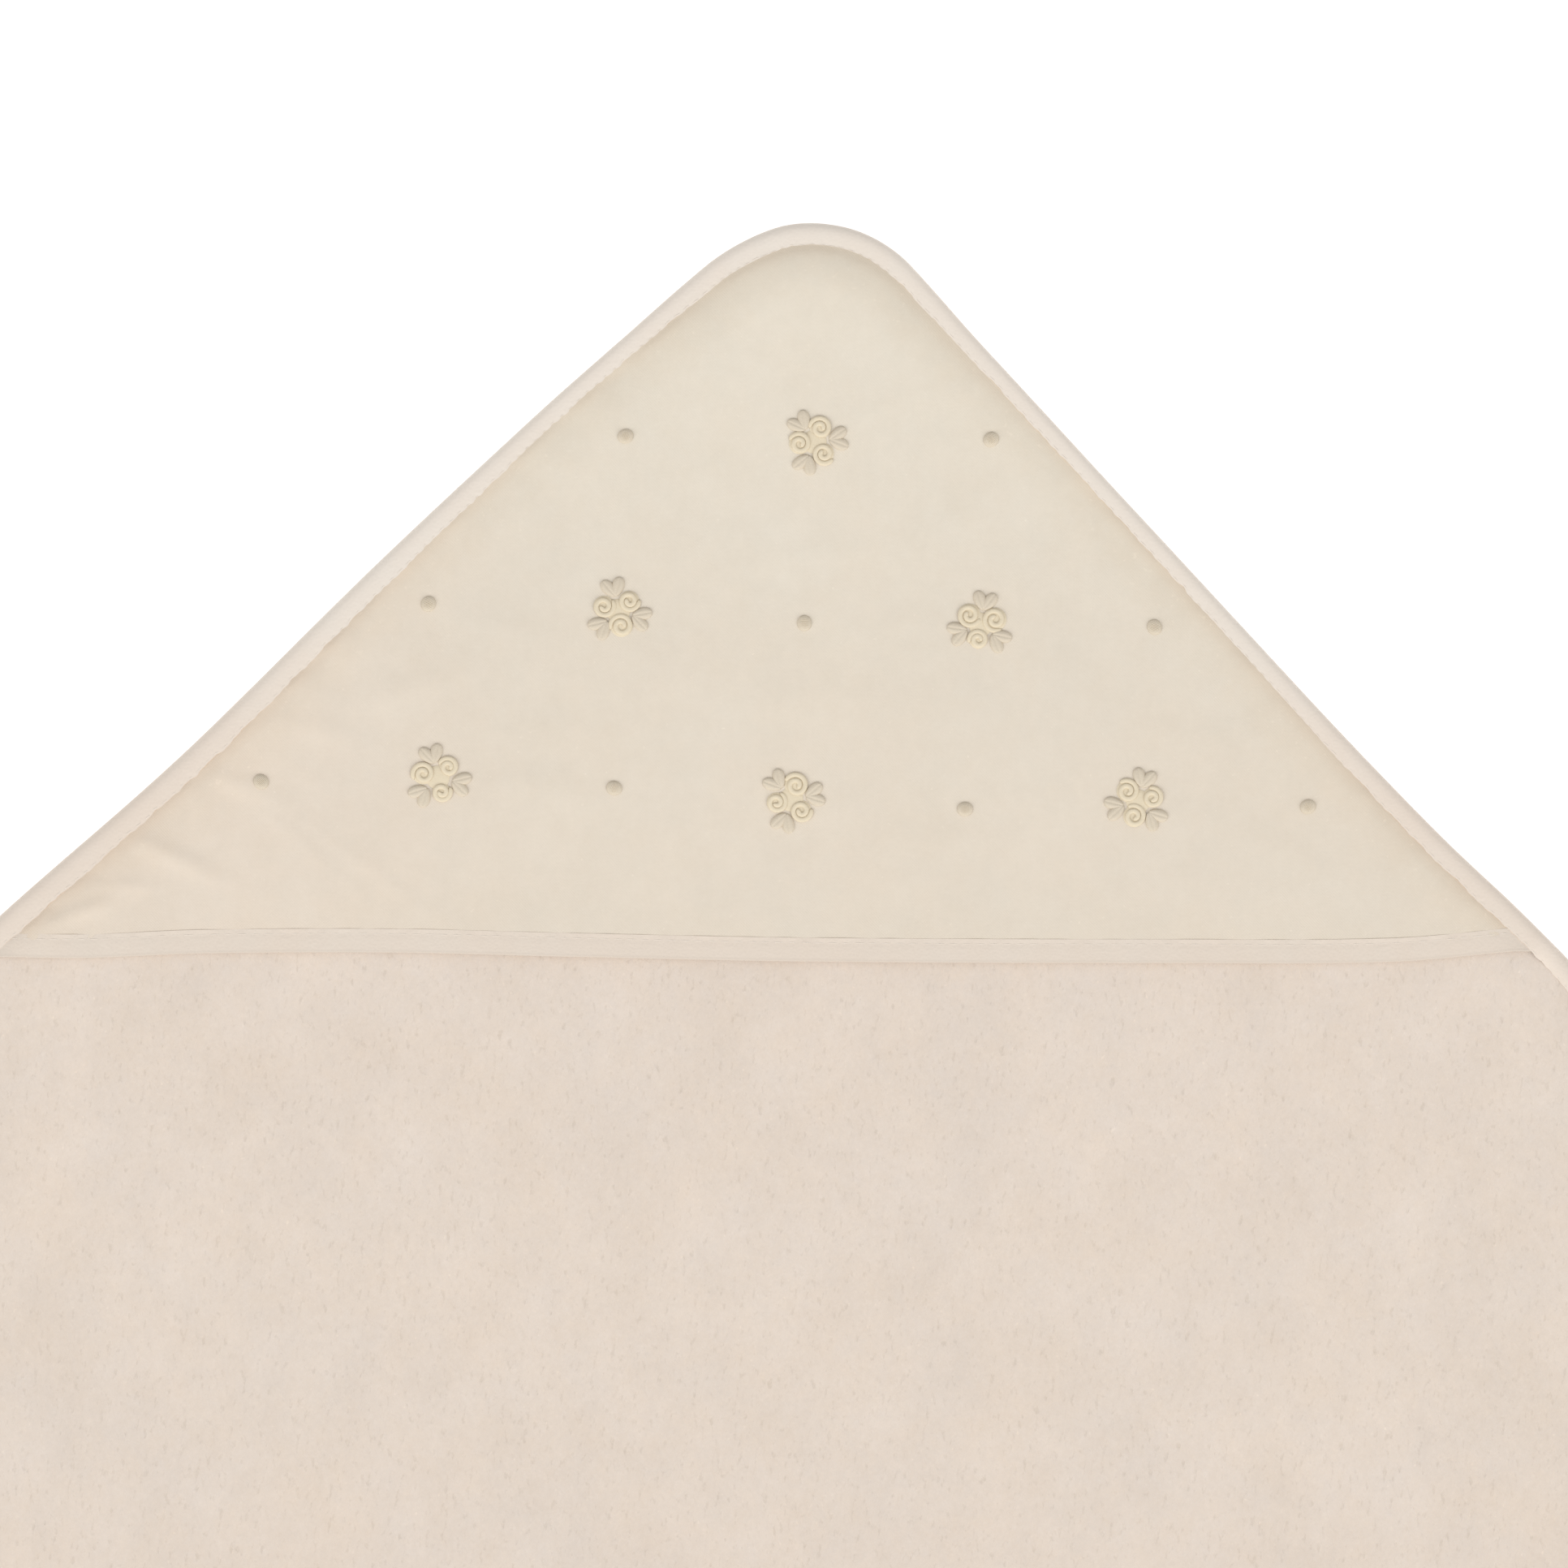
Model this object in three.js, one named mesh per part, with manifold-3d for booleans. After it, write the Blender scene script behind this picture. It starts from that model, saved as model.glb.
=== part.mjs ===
// Hooded baby towel, laid flat: a square terry towel set on its corner, bound all round with a
// folded tape, and a cotton hood sewn over its top corner and embroidered with flower motifs and dots.
// Millimetres, +Z up. The origin is the middle of the towel's underside, and the hooded corner
// points along +Y. The hood turns up about its rear edge.
import * as THREE from 'three';
import { mergeVertices } from 'three/addons/utils/BufferGeometryUtils.js';
import Module from 'manifold-3d';

const wasm = await Module();
wasm.setup();

// Driving dimensions.
const SIDE = 750;                 // finished side of the square towel
const CORNER_RADIUS = 36;         // outer radius of each rounded corner
const TERRY_THICKNESS = 3.6;      // terry cloth with its pile
const PINCHED_THICKNESS = 1.6;    // terry squeezed inside the tape
const GAP = 0.3;                  // clearance between layers of cloth
const TIGHT_GAP = 0.25;           // clearance between the hood's own layers
const FACET_GAP = 0.4;            // embroidery to the panel, whose facets rise a little in its slopes
const TAPE_WIDTH = 6;             // finished width of the folded tape
const TAPE_HEIGHT = 5.8;          // height of the tape's rounded fold
const TAPE_WALL = 0.6;            // one layer of the edge tape
const LIP_DEPTH = 0.9;            // how far the seam draws the tape in, above and below
const THREAD_WIDTH = 0.5;
const THREAD_HEIGHT = 0.4;
const STITCH_INSET = 5.1;         // outer edge to the topstitching
const CORNER_STEPS = 8;           // facets in one rounded corner

const HOOD_INSET = 6.5;           // outer edge of the towel to the hood's sewn edges
const HOOD_DEPTH = 197;           // sharp corner to the hood's front edge, on the centre line
const FRONT_EDGE_TILT = 1.85;     // degrees that the front edge runs up towards +X
const HOOD_BASE = 4.6;            // underside of the lining along the sewn edges
const HOOD_RISE = 5;              // how much higher the lining lies in the middle
const RISE_WIDTH = 36;            // width of the slope along each sewn edge
const LINING_THICKNESS = 0.8;
const PANEL_THICKNESS = 0.55;
const HOOD_TAPE_WALL = 0.45;      // one layer of the front edge's tape
const FRONT_STITCH_INSET = 5;     // front edge to its topstitching
const FRONT_THREAD_HEIGHT = 0.35;
const FRONT_THREAD_STOP = 12;     // the legs to the ends of the front topstitching
const BLUNT_END = 1.5;            // depth of the panel's cut-off front corners
const LEG_COLUMNS = 16;           // grid columns along each sewn edge
const ARC_COLUMNS = 6;            // grid columns across the rounded tip
const ROWS = 9;

// Embroidery places, from the hood's middle line and down from the towel's sharp corner. Motifs and
// dots take turns on a chessboard of about 44 mm, each a few millimetres off, as cloth moves while it
// is embroidered. A motif's third number is the direction of its first pair of leaves in degrees.
const MOTIF_PLACES = [
  [3.6, 69.2, 129], [-43.4, 112.4, 104], [45.9, 112.9, 82],
  [-86.5, 154.8, 107], [0.7, 157.4, 133], [86, 155.2, 77],
];
const DOT_PLACES = [
  [-43, 69.3], [47, 67.2], [-90.2, 112.1], [2.5, 113.9], [88.7, 112.1],
  [-130, 157.2], [-43, 156], [43.5, 158.4], [127.9, 155.1],
];
const ROSE_RADIUS = 2.9;
const ROSE_OFFSET = 4;            // motif centre to rose centre
const ROSE_HEIGHT = 0.8;
const ROSE_SIDES = 14;
const LEAF_LENGTH = 4.4;
const LEAF_WIDTH = 2.3;
const LEAF_START = 4.3;           // motif centre to the base of a leaf
const LEAF_SPREAD = 24;           // degrees from the pair's middle line to each leaf
const LEAF_HEIGHT = 0.45;
const SPOKE_WIDTH = 0.5;          // thread run from leaf pair to leaf pair under the roses
const SPOKE_HEIGHT = 0.2;
const HUB_RADIUS = 2.6;           // thread run from rose to rose, over the spokes
const DOT_RADIUS = 1.9;
const DOT_HEIGHT = 0.7;

// Values worked out from them.
const HALF_DIAGONAL = SIDE * Math.SQRT1_2;
const ARC_CENTRE = HALF_DIAGONAL - CORNER_RADIUS * Math.SQRT2;
const STATIONS = 4 * (CORNER_STEPS + 1);
const TILT = Math.tan(THREE.MathUtils.degToRad(FRONT_EDGE_TILT));
const FRONT_MIDDLE = HALF_DIAGONAL - HOOD_DEPTH;
const SEWN_CORNER = HALF_DIAGONAL - HOOD_INSET * Math.SQRT2;
const HOOD_RADIUS = CORNER_RADIUS - HOOD_INSET;
const PANEL_FRONT_INSET = HOOD_TAPE_WALL + TIGHT_GAP;
const PANEL_BASE = LINING_THICKNESS + TIGHT_GAP;
const HOOD_STACK = PANEL_BASE + PANEL_THICKNESS;

const CLOTH = {
  terry: { color: '#e4d6c9', roughness: 1, metalness: 0 },
  tape: { color: '#e9dcd0', roughness: 0.85, metalness: 0 },
  cotton: { color: '#e5dac9', roughness: 0.9, metalness: 0 },
  seamThread: { color: '#eadfd2', roughness: 0.6, metalness: 0 },
  roseThread: { color: '#e6d7b4', roughness: 0.5, metalness: 0 },
  leafThread: { color: '#cfc2a4', roughness: 0.5, metalness: 0 },
};

function piece(name, geometry, cloth) {
  const mesh = new THREE.Mesh(geometry, new THREE.MeshStandardMaterial(CLOTH[cloth]));
  mesh.name = name;
  return mesh;
}

function smoothStep(t) {
  return THREE.MathUtils.smoothstep(t, 0, 1);
}

// ---- Towel: sections carried round the rounded square ----------------------------------------

// A lathed section whose quarters are pulled apart to the four corners. A profile point's x is
// the corner radius there, so CORNER_RADIUS is the outer edge, and 0 is the middle of the towel.
function carriedRound(profile) {
  const geometry = new THREE.LatheGeometry(profile, STATIONS);
  const position = geometry.attributes.position;
  for (let i = 0; i < position.count; i++) {
    const station = Math.floor(i / profile.length) % STATIONS;
    const corner = Math.floor(station / (CORNER_STEPS + 1));
    const step = station % (CORNER_STEPS + 1);
    const cornerAngle = corner * Math.PI / 2;
    const angle = cornerAngle + (step / CORNER_STEPS - 0.5) * Math.PI / 2;
    const radius = profile[i % profile.length].x;
    const reach = radius === 0 ? 0 : ARC_CENTRE;
    position.setXYZ(
      i,
      reach * Math.cos(cornerAngle) + radius * Math.cos(angle),
      reach * Math.sin(cornerAngle) + radius * Math.sin(angle),
      profile[i % profile.length].y,
    );
  }
  return geometry;
}

// Profile points from pairs of inset from the outer edge and height.
function section(pairs) {
  return pairs.map(([inset, height]) => new THREE.Vector2(CORNER_RADIUS - inset, height));
}

function terryBody() {
  const shoulder = TAPE_WIDTH + GAP;
  const pinchBottom = (TERRY_THICKNESS + LIP_DEPTH + TAPE_WALL - PINCHED_THICKNESS) / 2;
  const pinchTop = pinchBottom + PINCHED_THICKNESS;
  const profile = section([
    [CORNER_RADIUS, 0],
    [shoulder, 0],
    [shoulder, pinchBottom],
    [TAPE_WALL + GAP, pinchBottom],
    [TAPE_WALL + GAP, pinchTop],
    [shoulder, pinchTop],
    [shoulder, TERRY_THICKNESS],
    [CORNER_RADIUS, TERRY_THICKNESS],
  ]);
  return carriedRound(profile);
}

// The tape's section: a rounded fold at the outer edge, and lips drawn in at the seam.
function edgeBinding() {
  const foldEnd = 3.8;
  const lipStart = 4.6;
  const inward = 0.3;
  const top = TAPE_HEIGHT;
  const lower = [
    [0, 1.6],
    [1.2, 0],
    [foldEnd, 0],
    [lipStart, LIP_DEPTH],
    [TAPE_WIDTH, LIP_DEPTH],
    [TAPE_WIDTH, LIP_DEPTH + TAPE_WALL],
    [lipStart - inward, LIP_DEPTH + TAPE_WALL],
    [foldEnd - inward, TAPE_WALL],
    [1.5, TAPE_WALL],
    [TAPE_WALL, 1.9],
  ];
  const upper = lower.map(([inset, height]) => [inset, top - height]).reverse();
  return carriedRound(section([...lower, ...upper, lower[0]]).reverse());
}

// A thread's square section at an inset and a height, closed on itself.
function threadRing(height) {
  const inner = STITCH_INSET + THREAD_WIDTH;
  const ring = [
    [STITCH_INSET, height],
    [STITCH_INSET, height + THREAD_HEIGHT],
    [inner, height + THREAD_HEIGHT],
    [inner, height],
    [STITCH_INSET, height],
  ];
  return carriedRound(section(ring));
}

// ---- Hood: sheets over the top corner --------------------------------------------------------

function frontEdge(x) {
  return FRONT_MIDDLE + TILT * x;
}

// The hood's sewn edges as one height in y for each x: two straight legs and the tip's arc.
function sewnEdge(x) {
  if (Math.abs(x) < HOOD_RADIUS * Math.SQRT1_2) {
    return ARC_CENTRE + Math.sqrt(HOOD_RADIUS ** 2 - x ** 2);
  }
  return SEWN_CORNER - Math.abs(x);
}

// Height of the lining's underside: low along both legs, and raised in between.
function hoodFloor(x, y) {
  const fromLeft = (SEWN_CORNER + x - y) * Math.SQRT1_2;
  const fromRight = (SEWN_CORNER - x - y) * Math.SQRT1_2;
  const rise = smoothStep(fromLeft / RISE_WIDTH) * smoothStep(fromRight / RISE_WIDTH);
  return HOOD_BASE + HOOD_RISE * rise;
}

// Where a leg meets a line that runs above the front edge, side -1 on the left and 1 on the right.
function legEnd(side, above) {
  return side * (SEWN_CORNER - FRONT_MIDDLE - above) / (1 + side * TILT);
}

function gridColumns() {
  const left = legEnd(-1, PANEL_FRONT_INSET + BLUNT_END);
  const right = legEnd(1, PANEL_FRONT_INSET + BLUNT_END);
  const arc = HOOD_RADIUS * Math.SQRT1_2;
  const columns = [];
  for (let i = 0; i < LEG_COLUMNS; i++) {
    columns.push(left + (-arc - left) * i / LEG_COLUMNS);
  }
  for (let i = 0; i < ARC_COLUMNS; i++) {
    columns.push(HOOD_RADIUS * Math.sin((i / ARC_COLUMNS - 0.5) * Math.PI / 2));
  }
  for (let i = 0; i <= LEG_COLUMNS; i++) {
    columns.push(arc + (right - arc) * i / LEG_COLUMNS);
  }
  return columns;
}

const COLUMNS = gridColumns();

// Splits the underside's squares along the same diagonals as the face's, so that both faces of
// a curved sheet stay parallel.
function alignUnderside(geometry) {
  const underside = geometry.groups[5];
  const index = geometry.index;
  for (let i = underside.start; i < underside.start + underside.count; i += 6) {
    const [a, b, d, c] = [index.getX(i), index.getX(i + 1), index.getX(i + 2), index.getX(i + 4)];
    [a, b, c, a, c, d].forEach((corner, k) => index.setX(i + k, corner));
  }
}

// One layer of the hood, lying above the hood's floor, from the front tape to the sewn edges.
function hoodSheet(above, thickness) {
  const spans = COLUMNS.length - 1;
  const geometry = new THREE.BoxGeometry(1, 1, 1, spans, ROWS, 1);
  alignUnderside(geometry);
  const position = geometry.attributes.position;
  for (let i = 0; i < position.count; i++) {
    const x = COLUMNS[Math.round((position.getX(i) + 0.5) * spans)];
    const front = frontEdge(x) + PANEL_FRONT_INSET;
    const depth = sewnEdge(x) - front;
    const underTape = Math.min(TAPE_WIDTH, depth / 2);
    const row = Math.round((position.getY(i) + 0.5) * ROWS);
    const y = row === 0 ? front : front + underTape + (depth - underTape) * (row - 1) / (ROWS - 1);
    const layer = position.getZ(i) > 0 ? above + thickness : above;
    position.setXYZ(i, x, y, hoodFloor(x, y) + layer);
  }
  return geometry;
}

// A strip along the front edge. The section holds pairs of distance behind the front edge and
// height above the hood's floor, and the ends follow the legs or stop short of them.
function alongFront(pairs, shortfall) {
  const shape = new THREE.Shape(pairs.map(([behind, height]) => new THREE.Vector2(behind, height)));
  const spans = COLUMNS.length - 1;
  const geometry = new THREE.ExtrudeGeometry(shape, { depth: spans, steps: spans, bevelEnabled: false });
  const position = geometry.attributes.position;
  for (let i = 0; i < position.count; i++) {
    const behind = position.getX(i);
    const column = Math.round(position.getZ(i));
    const x = THREE.MathUtils.clamp(
      column === 0 || column === spans ? Math.sign(COLUMNS[column]) * SIDE : COLUMNS[column],
      legEnd(-1, behind) + shortfall + column,
      legEnd(1, behind) - shortfall - (spans - column),
    );
    const y = frontEdge(x) + behind;
    position.setXYZ(i, x, y, hoodFloor(x, y) + position.getY(i));
  }
  return geometry;
}

// The front tape's section, folded round the front edge of both layers.
function frontBinding() {
  const low = -TIGHT_GAP - HOOD_TAPE_WALL;
  const high = HOOD_STACK + TIGHT_GAP + HOOD_TAPE_WALL;
  const folded = [
    [0, low],
    [TAPE_WIDTH, low],
    [TAPE_WIDTH, low + HOOD_TAPE_WALL],
    [HOOD_TAPE_WALL, low + HOOD_TAPE_WALL],
    [HOOD_TAPE_WALL, high - HOOD_TAPE_WALL],
    [TAPE_WIDTH, high - HOOD_TAPE_WALL],
    [TAPE_WIDTH, high],
    [0, high],
  ];
  return alongFront(folded, 0);
}

function frontThread(low) {
  const near = FRONT_STITCH_INSET - THREAD_WIDTH / 2;
  const far = FRONT_STITCH_INSET + THREAD_WIDTH / 2;
  const high = low + FRONT_THREAD_HEIGHT;
  return alongFront([[near, low], [far, low], [far, high], [near, high]], FRONT_THREAD_STOP);
}

// ---- Embroidery on the hood ------------------------------------------------------------------

// Two closed bodies or more joined into one.
function joined(geometries) {
  const solids = geometries.map((geometry) => {
    geometry.deleteAttribute('normal');
    geometry.deleteAttribute('uv');
    const closed = mergeVertices(geometry);
    return new wasm.Manifold(new wasm.Mesh({
      numProp: 3,
      vertProperties: new Float32Array(closed.attributes.position.array),
      triVerts: new Uint32Array(closed.index.array),
    }));
  });
  const mesh = solids.reduce((whole, solid) => whole.add(solid)).getMesh();
  const geometry = new THREE.BufferGeometry();
  geometry.setAttribute('position', new THREE.BufferAttribute(mesh.vertProperties, 3));
  geometry.setIndex(new THREE.BufferAttribute(mesh.triVerts, 1));
  geometry.computeVertexNormals();
  return geometry;
}

// Moves a flat piece of embroidery to its place and lays it on the panel's face.
function laidOnPanel(geometry, place, turn = 0) {
  geometry.rotateZ(THREE.MathUtils.degToRad(turn));
  geometry.translate(place.x, place.y, HOOD_STACK + FACET_GAP);
  const position = geometry.attributes.position;
  for (let i = 0; i < position.count; i++) {
    position.setZ(i, position.getZ(i) + hoodFloor(position.getX(i), position.getY(i)));
  }
  return geometry;
}

// Upright prism of a round outline.
function disc(radius, height, sides) {
  return new THREE.CylinderGeometry(radius, radius, height, sides)
    .rotateX(Math.PI / 2)
    .translate(0, 0, height / 2);
}

function roses() {
  const hubStart = SPOKE_HEIGHT + GAP;
  const parts = [disc(HUB_RADIUS, ROSE_HEIGHT - hubStart, ROSE_SIDES).translate(0, 0, hubStart)];
  for (const angle of [60, 180, 300]) {
    const around = THREE.MathUtils.degToRad(angle);
    const rose = disc(ROSE_RADIUS, ROSE_HEIGHT, ROSE_SIDES);
    parts.push(rose.translate(ROSE_OFFSET * Math.cos(around), ROSE_OFFSET * Math.sin(around), 0));
  }
  return joined(parts);
}

function leaf(spread) {
  const outline = new THREE.Shape();
  outline.moveTo(0, 0);
  outline.quadraticCurveTo(LEAF_LENGTH / 2, LEAF_WIDTH, LEAF_LENGTH, 0);
  outline.quadraticCurveTo(LEAF_LENGTH / 2, -LEAF_WIDTH, 0, 0);
  return new THREE.ExtrudeGeometry(outline, { depth: LEAF_HEIGHT, curveSegments: 4, bevelEnabled: false })
    .rotateZ(THREE.MathUtils.degToRad(spread))
    .translate(LEAF_START, 0, 0);
}

function leaves() {
  const parts = [];
  const spokeLength = LEAF_START + 0.8;
  for (const angle of [0, 120, 240]) {
    const around = THREE.MathUtils.degToRad(angle);
    const spoke = new THREE.BoxGeometry(spokeLength, SPOKE_WIDTH, SPOKE_HEIGHT);
    spoke.translate(spokeLength / 2, 0, SPOKE_HEIGHT / 2);
    parts.push(spoke.rotateZ(around));
    parts.push(leaf(LEAF_SPREAD).rotateZ(around));
    parts.push(leaf(-LEAF_SPREAD).rotateZ(around));
  }
  return joined(parts);
}

function dot() {
  const profile = [[0, 0], [1, 0], [0.9, 0.5], [0.55, 0.9], [0, 1]];
  const points = profile.map(([out, up]) => new THREE.Vector2(out * DOT_RADIUS, up * DOT_HEIGHT));
  return new THREE.LatheGeometry(points, 12).rotateX(Math.PI / 2);
}

function embroideryPlace([x, depth]) {
  return { x, y: HALF_DIAGONAL - depth };
}

// ---- The whole towel -------------------------------------------------------------------------

function towel() {
  const group = new THREE.Group();
  group.add(piece('terry_body', terryBody(), 'terry'));
  group.add(piece('edge_binding', edgeBinding(), 'tape'));
  const upperThread = TAPE_HEIGHT - LIP_DEPTH + GAP;
  const lowerThread = LIP_DEPTH - GAP - THREAD_HEIGHT;
  group.add(piece('edge_topstitch_upper', threadRing(upperThread), 'seamThread'));
  group.add(piece('edge_topstitch_lower', threadRing(lowerThread), 'seamThread'));
  return group;
}

function hood() {
  const group = new THREE.Group();
  group.add(piece('hood_lining', hoodSheet(0, LINING_THICKNESS), 'terry'));
  group.add(piece('hood_panel', hoodSheet(PANEL_BASE, PANEL_THICKNESS), 'cotton'));
  group.add(piece('hood_front_binding', frontBinding(), 'tape'));
  const overTape = HOOD_STACK + HOOD_TAPE_WALL + 2 * TIGHT_GAP;
  const underTape = -HOOD_TAPE_WALL - 2 * TIGHT_GAP - FRONT_THREAD_HEIGHT;
  group.add(piece('front_topstitch_upper', frontThread(overTape), 'seamThread'));
  group.add(piece('front_topstitch_lower', frontThread(underTape), 'seamThread'));
  MOTIF_PLACES.forEach((entry, i) => {
    const place = embroideryPlace(entry);
    const turn = entry[2];
    group.add(piece(`motif_${i + 1}_leaves`, laidOnPanel(leaves(), place, turn), 'leafThread'));
    group.add(piece(`motif_${i + 1}_roses`, laidOnPanel(roses(), place, turn), 'roseThread'));
  });
  DOT_PLACES.forEach((entry, i) => {
    group.add(piece(`dot_${i + 1}`, laidOnPanel(dot(), embroideryPlace(entry)), 'leafThread'));
  });
  return group;
}

const hoodedTowel = new THREE.Group();
hoodedTowel.add(towel(), hood());

export default hoodedTowel;
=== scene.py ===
"""Hooded baby towel, laid flat: terry cloth, folded tape, an embroidered cotton hood and its stitching."""

import bisect
import functools
import math
import random

import bmesh
import bpy
from bpy.props import FloatProperty, FloatVectorProperty, PointerProperty
from mathutils import Matrix, Vector, noise


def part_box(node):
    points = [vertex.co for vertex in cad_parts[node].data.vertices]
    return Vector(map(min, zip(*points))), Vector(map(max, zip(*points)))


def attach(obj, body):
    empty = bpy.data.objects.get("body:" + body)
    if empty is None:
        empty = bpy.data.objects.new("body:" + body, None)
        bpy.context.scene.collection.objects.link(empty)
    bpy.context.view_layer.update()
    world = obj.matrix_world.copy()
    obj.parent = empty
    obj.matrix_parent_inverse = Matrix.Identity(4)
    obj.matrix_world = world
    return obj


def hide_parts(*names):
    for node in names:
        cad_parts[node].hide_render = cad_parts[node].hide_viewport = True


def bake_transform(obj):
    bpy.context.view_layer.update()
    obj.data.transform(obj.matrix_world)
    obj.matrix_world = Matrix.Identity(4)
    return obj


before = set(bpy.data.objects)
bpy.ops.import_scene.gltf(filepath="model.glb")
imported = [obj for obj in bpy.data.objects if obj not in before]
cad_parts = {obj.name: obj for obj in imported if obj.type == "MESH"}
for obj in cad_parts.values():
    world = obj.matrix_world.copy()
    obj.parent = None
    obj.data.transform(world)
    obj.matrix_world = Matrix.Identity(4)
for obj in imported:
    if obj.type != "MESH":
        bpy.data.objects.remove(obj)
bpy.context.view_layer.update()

bl_info = {
    "name": "Hooded Baby Towel",
    "version": (1, 0, 0),
    "blender": (4, 5, 0),
    "location": "View3D > Sidebar > Towel",
    "description": "Builds a hooded baby towel in terry, cotton, tape and embroidery thread",
    "category": "Add Mesh",
}

MM = 0.001
TOWEL_BODY = "towel"
TIP_ANGLE = math.pi / 2
SHARP_ANGLE = math.radians(62)      # cut edges of cloth are sharper than this


def length(name, description, default):
    return FloatProperty(name=name, description=description, default=default, unit="LENGTH", precision=5)


def colour(name, description, default):
    return FloatVectorProperty(
        name=name, description=description, default=default, size=3, subtype="COLOR", min=0, max=1
    )


class TowelSizes(bpy.types.PropertyGroup):
    side: length("Side", "Finished side of the square towel", 0.75)
    corner_radius: length("Corner radius", "Outer radius of each rounded corner", 0.036)
    thickness: length("Thickness", "Terry cloth with its pile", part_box("terry_body")[1].z)
    unevenness: length("Unevenness", "How far the laid cloth rises and falls", 0.35 * MM)
    tape_width: length("Tape width", "Folded width of the edge tape at its widest", 6.2 * MM)
    tape_wall: length("Tape wall", "One layer of the edge tape", 0.28 * MM)
    tape_height: length("Tape height", "Height of the tape's fold where the hood is sewn in", 4.9 * MM)
    tape_height_thin: length("Thin tape height", "Height of the tape's fold away from the hood", 4.3 * MM)
    stitch_pitch: length("Stitch pitch", "From one topstitch to the next", 2.9 * MM)
    stitch_length: length("Stitch length", "Visible length of one topstitch", 2.3 * MM)
    thread_radius: length("Thread radius", "Radius of the sewing thread", 0.14 * MM)


class HoodSizes(bpy.types.PropertyGroup):
    depth: length("Depth", "Sharp corner to the front edge on the middle line", 0.197)
    slant: FloatProperty(
        name="Front edge slant", description="How much the front edge runs up towards the right",
        default=math.radians(1.85), unit="ROTATION",
    )
    seam_height: length("Seam height", "Height of the cotton where it goes under the tape", 4.6 * MM)
    crown: length("Crown", "Gentle rise towards the hood's middle", 1.6 * MM)
    crown_width: length("Crown width", "Width of the gentle rise", 70 * MM)
    panel_thickness: length("Cotton thickness", "Outer cotton layer", 0.4 * MM)
    lining_thickness: length("Lining thickness", "Terry lining", 0.6 * MM)
    band_width: length("Band width", "Finished width of the folded band on the front edge", 5.9 * MM)
    band_wall: length("Band wall", "One layer of the front band", 0.2 * MM)
    pucker: length("Pucker", "Height of the small folds along the sewn edges", 0.3 * MM)


class EmbroiderySizes(bpy.types.PropertyGroup):
    rose_radius: length("Rose radius", "Radius of one rose", 3.4 * MM)
    rose_offset: length("Rose offset", "Middle of a motif to the middle of a rose", 3.7 * MM)
    rose_cord: length("Rose cord", "Radius of the cord wound into a rose", 0.6 * MM)
    rose_turns: FloatProperty(name="Rose turns", description="Turns of cord in a rose", default=1.65)
    rose_height: length("Rose height", "Height of the cushion under a rose", 0.36 * MM)
    leaf_length: length("Leaf length", "Base to tip of a leaf", 4.9 * MM)
    leaf_width: length("Leaf width", "Widest part of a leaf", 3.2 * MM)
    leaf_height: length("Leaf height", "How far a leaf stands above the cotton", 0.85 * MM)
    leaf_start: length("Leaf start", "Middle of a motif to the base of a leaf", 3.7 * MM)
    leaf_spread: FloatProperty(
        name="Leaf spread", description="Angle from a pair's middle line to each leaf",
        default=math.radians(28), unit="ROTATION",
    )
    dot_radius: length("Dot radius", "Radius of a satin-stitched dot", 1.95 * MM)
    dot_height: length("Dot height", "How far a dot stands above the cotton", 0.95 * MM)
    satin_pitch: length("Satin pitch", "Width of one thread in satin stitch", 0.34 * MM)


class ClothColours(bpy.types.PropertyGroup):
    terry: colour("Terry", "Brushed terry cloth", (0.739, 0.642, 0.556))
    cotton: colour("Cotton", "Outer cotton of the hood", (0.738, 0.657, 0.551))
    tape: colour("Tape", "Tape folded over the towel's edge", (0.786, 0.713, 0.633))
    band: colour("Front band", "Tape folded over the hood's front edge", (0.757, 0.687, 0.605))
    seam_thread: colour("Seam thread", "Topstitching thread", (0.765, 0.690, 0.608))
    rose_thread: colour("Rose thread", "Embroidery thread of the roses", (0.748, 0.655, 0.492))
    leaf_thread: colour("Leaf thread", "Embroidery thread of the leaves and dots", (0.690, 0.608, 0.485))
    floor: colour("Floor", "Ground that the towel lies on", (0.94, 0.94, 0.94))


# ---- Where the cloth runs ---------------------------------------------------------------------


def smooth(value):
    value = min(max(value, 0.0), 1.0)
    return value * value * (3 - 2 * value)


def mix(low, high, share):
    return low + (high - low) * share


def direction(angle):
    return Vector((math.cos(angle), math.sin(angle), 0))


def through(points, place):
    """A value that runs in a soft curve through (place, value) pairs and stays level beyond the ends."""
    last = len(points) - 1
    if place <= points[0][0]:
        return points[0][1]
    if place >= points[last][0]:
        return points[last][1]
    after = bisect.bisect_right(points, (place, math.inf))
    (low, start), (high, end) = points[after - 1], points[after]
    span = high - low
    slopes = []
    for i in (after - 1, after):
        (before, low_value), (beyond, high_value) = points[max(i - 1, 0)], points[min(i + 1, last)]
        slopes.append((high_value - low_value) / (beyond - before) * span)
    share = (place - low) / span
    bend = share * (1 - share) * (slopes[0] * (1 - share) - slopes[1] * share)
    return mix(start, end, smooth(share)) + bend


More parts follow.
